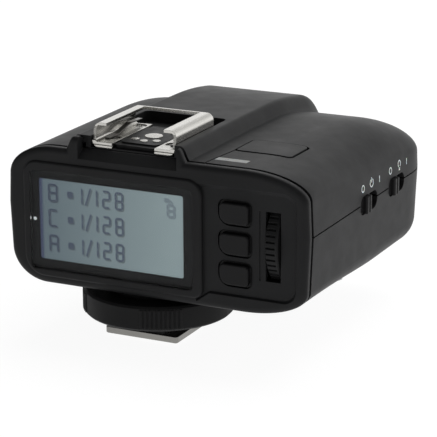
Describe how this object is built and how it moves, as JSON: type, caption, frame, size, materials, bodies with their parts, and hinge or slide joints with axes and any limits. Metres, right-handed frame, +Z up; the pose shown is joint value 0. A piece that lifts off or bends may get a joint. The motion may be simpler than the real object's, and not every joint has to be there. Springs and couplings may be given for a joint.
{
  "type": "wireless flash trigger",
  "caption": "Radio flash trigger with a flat display, keys, selector wheel, side slide switches, an accessory shoe on top and a locking hot-shoe foot below.",
  "frame": {"origin": "centre of the hot-shoe foot's lower face", "axes": "+X right as the user sees the display, +Y from the display towards the subject, +Z up"},
  "size_m": [0.0756, 0.0739, 0.0508],
  "materials": {
    "shell_plastic": "fine matt texture, charcoal black",
    "key_plastic": "smooth satin black",
    "black_nylon": "plain black nylon",
    "window_acrylic": "polished clear acrylic",
    "lcd_glass": "grey-blue liquid crystal panel",
    "white_plastic": "translucent white",
    "lens_red": "deep red polished polycarbonate",
    "led_epoxy": "clear red epoxy",
    "nickel_steel": "bright nickel plate with fine brushing",
    "steel": "plain steel",
    "gold_contact": "thin gold plate",
    "circuit_board": "green solder mask",
    "component_black": "moulded epoxy",
    "cell_jacket": "printed cell jacket, plain"
  },
  "bodies": {
    "housing": {"face_plate": "shell_plastic", "upper_shell": "shell_plastic", "lower_shell": "shell_plastic", "foot_stem": "black_nylon", "ring_neck": "black_nylon", "foot_insulator": "black_nylon", "shoe_contact_block": "black_nylon", "battery_tray": "black_nylon", "wheel_bracket": "black_nylon", "display_window": "window_acrylic", "lcd_panel": "lcd_glass", "backlight": "white_plastic", "status_light_pipe": "white_plastic", "assist_lens": "lens_red", "assist_led": "led_epoxy", "shoe_frame": "nickel_steel", "shoe_springs": "nickel_steel", "foot_plate": "nickel_steel", "shoe_screws": "nickel_steel", "foot_screws": "nickel_steel", "usb_socket": "nickel_steel", "shoe_contacts": "nickel_steel", "door_hinge_pin": "steel", "case_screws": "steel", "battery_springs": "steel", "battery_contacts": "steel", "radio_module": "steel", "pin_barrels": "gold_contact", "display_board": "circuit_board", "main_board": "circuit_board", "switch_board": "circuit_board", "socket_board": "circuit_board", "key_switches": "component_black", "test_switch": "component_black", "power_switch_body": "component_black", "lamp_switch_body": "component_black", "encoder": "component_black", "board_parts": "component_black", "sync_jack": "component_black", "battery_cells": "cell_jacket"},
    "selector": {"selector_wheel": "key_plastic", "wheel_shaft": "steel"},
    "key_top": {"key_top": "key_plastic"},
    "key_middle": {"key_middle": "key_plastic"},
    "key_bottom": {"key_bottom": "key_plastic"},
    "test_key": {"test_key": "shell_plastic"},
    "power_slider": {"power_slider": "key_plastic"},
    "lamp_slider": {"lamp_slider": "key_plastic"},
    "battery_door": {"battery_door": "shell_plastic"},
    "clamp_washer": {"clamp_washer": "black_nylon"},
    "lock_ring": {"lock_ring": "key_plastic"},
    "lock_pin": {"lock_pin": "steel"},
    "contact_pin_centre": {"contact_pin_centre": "gold_contact"},
    "contact_pin_a": {"contact_pin_a": "gold_contact"},
    "contact_pin_b": {"contact_pin_b": "gold_contact"},
    "contact_pin_c": {"contact_pin_c": "gold_contact"},
    "contact_pin_d": {"contact_pin_d": "gold_contact"}
  },
  "joints": [
    {"name": "key_top_press", "type": "slide", "parent": "housing", "child": "key_top", "axis": [0, 1, 0], "range_m": [0, 0.0006], "stiffness_N_per_m": 400},
    {"name": "key_middle_press", "type": "slide", "parent": "housing", "child": "key_middle", "axis": [0, 1, 0], "range_m": [0, 0.0006], "stiffness_N_per_m": 400},
    {"name": "key_bottom_press", "type": "slide", "parent": "housing", "child": "key_bottom", "axis": [0, 1, 0], "range_m": [0, 0.0006], "stiffness_N_per_m": 400},
    {"name": "selector_spin", "type": "hinge", "parent": "housing", "child": "selector", "pos_m": [0.03545, -0.0047, 0.02775], "axis": [1, 0, 0], "continuous": true},
    {"name": "test_key_press", "type": "slide", "parent": "housing", "child": "test_key", "axis": [0, 0, -1], "range_m": [0, 0.0008], "stiffness_N_per_m": 400},
    {"name": "power_slide", "type": "slide", "parent": "housing", "child": "power_slider", "axis": [0, 1, 0], "range_m": [0, 0.0027]},
    {"name": "lamp_slide", "type": "slide", "parent": "housing", "child": "lamp_slider", "axis": [0, 1, 0], "range_m": [0, 0.0027]},
    {"name": "battery_door_swing", "type": "hinge", "parent": "housing", "child": "battery_door", "pos_m": [0.0066, 0.0234, 0.0133], "axis": [-1, 0, 0], "range_deg": [0, 90]},
    {"name": "clamp_drop", "type": "slide", "parent": "housing", "child": "clamp_washer", "axis": [0, 0, -1], "range_m": [0, 0.0018]},
    {"name": "lock_ring_turn", "type": "hinge", "parent": "clamp_washer", "child": "lock_ring", "pos_m": [0, 0, 0.0075], "axis": [0, 0, -1], "range_deg": [0, 270]},
    {"name": "lock_pin_drop", "type": "slide", "parent": "housing", "child": "lock_pin", "axis": [0, 0, -1], "range_m": [0, 0.0018]},
    {"name": "contact_pin_centre_press", "type": "slide", "parent": "housing", "child": "contact_pin_centre", "axis": [0, 0, 1], "range_m": [0, 0.0006], "stiffness_N_per_m": 300},
    {"name": "contact_pin_a_press", "type": "slide", "parent": "housing", "child": "contact_pin_a", "axis": [0, 0, 1], "range_m": [0, 0.0006], "stiffness_N_per_m": 300},
    {"name": "contact_pin_b_press", "type": "slide", "parent": "housing", "child": "contact_pin_b", "axis": [0, 0, 1], "range_m": [0, 0.0006], "stiffness_N_per_m": 300},
    {"name": "contact_pin_c_press", "type": "slide", "parent": "housing", "child": "contact_pin_c", "axis": [0, 0, 1], "range_m": [0, 0.0006], "stiffness_N_per_m": 300},
    {"name": "contact_pin_d_press", "type": "slide", "parent": "housing", "child": "contact_pin_d", "axis": [0, 0, 1], "range_m": [0, 0.0006], "stiffness_N_per_m": 300}
  ],
  "couplings": [
    {"joint": "clamp_drop", "follows": "lock_ring_turn", "m_per_rad": 0.00038},
    {"joint": "lock_pin_drop", "follows": "lock_ring_turn", "m_per_rad": 0.00038}
  ]
}
